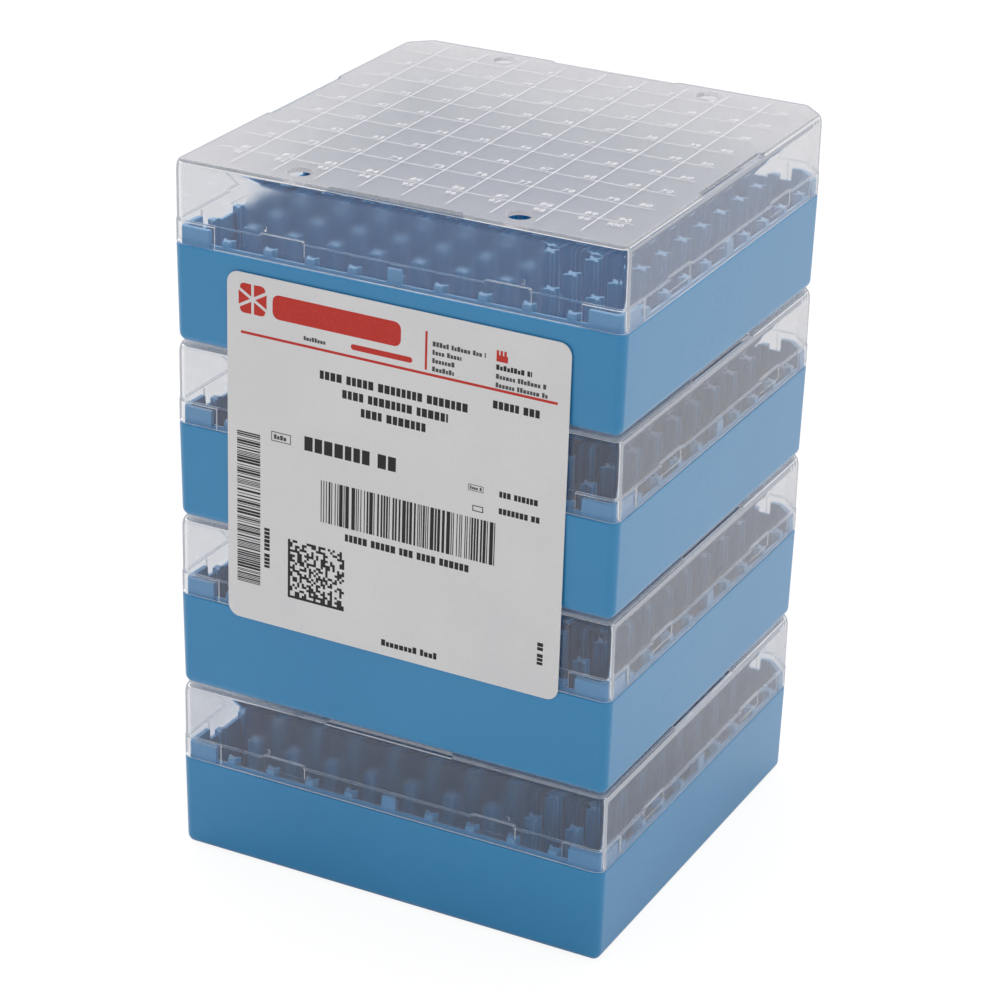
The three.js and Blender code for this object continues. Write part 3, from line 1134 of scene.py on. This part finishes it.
def floor_material():
    n = new_material("studio_floor_white")
    tone = n.ramp(n.noise(n.coordinates(), scale=3, detail=2, rough=0.5), low=0.3, high=0.7)
    base = n.mix(tone, (0.79, 0.79, 0.795, 1), (0.82, 0.82, 0.825, 1))
    bsdf = n.add("BsdfPrincipled", Base_Color=base, Roughness=0.8)
    # the camera sees a mostly self-lit, even white
    lit_share = 0.82
    lit = n.add("Emission", Color=(1, 1, 1, 1), Strength=1.1)
    pale = n.mix_shader(lit_share, bsdf, lit)
    return n.finish(n.mix_shader(n.add("LightPath").outputs["Is Camera Ray"], bsdf, pale))


BLUE = blue_material()
CLEAR = clear_material()
PAPER = paper_material()
WHITE_INK = ink_material("white_print_ink", (226, 226, 231), (234, 234, 238))
BLACK_INK = ink_material("black_label_ink", (18, 18, 20), (34, 34, 38))
GREY_INK = ink_material("grey_label_ink", (66, 66, 70), (92, 92, 97))
RED_INK = ink_material("red_label_ink", (196, 38, 26), (206, 58, 44))


# ----------------------------------------------------------------- assembly
def finished_mesh(master, material):
    """The mesh of a moulding, shaded, for the boxes to share; master is removed."""
    mesh = master.data
    bpy.data.objects.remove(master)
    shade(mesh, 32)
    mesh.materials.clear()
    mesh.materials.append(material)
    return mesh


def build_boxes():
    base_master, lid_master = make_base(), make_lid()
    base_mesh = finished_mesh(base_master, BLUE)
    lid_mesh = finished_mesh(lid_master, CLEAR)
    ink_mesh = make_mesh("lid_print_1", *make_print())
    ink_mesh.materials.append(WHITE_INK)
    for k in range(BOX_COUNT):
        lift = (0, 0, k * BOX_PITCH * MM)
        base = add_object("base_moulding_%d" % (k + 1), base_mesh, lift)
        lid = add_object("lid_moulding_%d" % (k + 1), lid_mesh, lift)
        ink = add_object("lid_print_%d" % (k + 1), ink_mesh, lift)
        weight_normals(base)
        weight_normals(lid)
        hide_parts("base_%d" % (k + 1))
        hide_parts("lid_%d" % (k + 1))
        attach(base, "box_%d_base" % (k + 1))
        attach(lid, "box_%d_lid" % (k + 1))
        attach(ink, "box_%d_lid" % (k + 1))


def build_label():
    label = mesh_object("label_sheet", *make_label())
    shade(label.data, 40)
    label.data.materials.append(PAPER)
    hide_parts("pack_label")
    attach(label, "box_3_base")
    names = ("label_print_red", "label_print_black", "label_print_grey")
    for name, body, ink in zip(names, make_label_print(), (RED_INK, BLACK_INK, GREY_INK)):
        obj = mesh_object(name, *body)
        obj.data.materials.append(ink)
        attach(obj, "box_3_base")


build_boxes()
build_label()


# ---------------------------------------------------------- floor and lights
def build_floor():
    bpy.ops.mesh.primitive_plane_add(size=6.0, location=(0, 0, -0.0002))
    floor = bpy.context.active_object
    floor.name = "studio_floor"
    floor.data.materials.append(floor_material())


def build_world():
    """Surroundings brighter behind than in front, and even to the camera."""
    camera_strength = 1.1
    world = bpy.data.worlds.new("studio_world")
    bpy.context.scene.world = world
    n = Nodes(world, "OutputWorld")
    direction = n.add("SeparateXYZ", Vector=n.add("TexCoord").outputs["Generated"]).outputs
    front_back = n.ramp(direction[1], low=-0.75, high=0.6, to_low=0.44, to_high=1.16)
    left_right = n.ramp(direction[0], low=-0.9, high=0.95, to_low=1.0, to_high=0.98)
    strength = n.math("MULTIPLY", front_back, left_right)
    camera_ray = n.add("LightPath").outputs["Is Camera Ray"]
    strength = n.mix_value(camera_ray, strength, camera_strength)
    n.finish(n.add("Background", Color=(1.0, 0.987, 0.976, 1), Strength=strength))


def softbox(name, location, side, power):
    """A square area light aimed at the stack."""
    light = bpy.data.lights.new(name, "AREA")
    light.shape = "RECTANGLE"
    light.size = light.size_y = side
    light.energy = power
    obj = add_object(name, light, location)
    direction = Vector((0, 0, 0.12)) - Vector(location)
    obj.rotation_euler = direction.to_track_quat("-Z", "Y").to_euler()
    obj.visible_glossy = False
    obj.visible_transmission = False


build_floor()
build_world()
softbox("key_light", location=(-0.3, 0.3, 1.6), side=0.9, power=6)
softbox("front_fill", location=(-0.5, -1.5, 1.2), side=0.8, power=3.7)

# ------------------------------------------------------------------- camera
CAMERA_PLACE = (0.381237, -0.757021, 0.484156)
YAW, TILT, ROLL = 0.46724, 0.42800, 0.02652  # radians; TILT is downwards


def build_camera():
    forward = Vector(
        (-math.sin(YAW) * math.cos(TILT), math.cos(YAW) * math.cos(TILT), -math.sin(TILT))
    )
    right = Vector((math.cos(YAW), math.sin(YAW), 0.0))
    up = right.cross(forward)
    rolled_right = right * math.cos(ROLL) + up * math.sin(ROLL)
    rolled_up = up * math.cos(ROLL) - right * math.sin(ROLL)
    data = bpy.data.cameras.new("camera")
    data.sensor_width = 36.0
    data.lens = 117.898
    data.clip_end = 20.0
    camera = add_object("camera", data)
    rotation = Matrix((rolled_right, rolled_up, -forward)).transposed().to_4x4()
    camera.matrix_world = Matrix.Translation(CAMERA_PLACE) @ rotation
    bpy.context.scene.camera = camera


build_camera()

scene = bpy.context.scene
scene.view_settings.view_transform = "Standard"
scene.view_settings.look = "None"
scene.cycles.max_bounces = 16
scene.cycles.transmission_bounces = 14
scene.cycles.glossy_bounces = 8
scene.cycles.transparent_max_bounces = 24
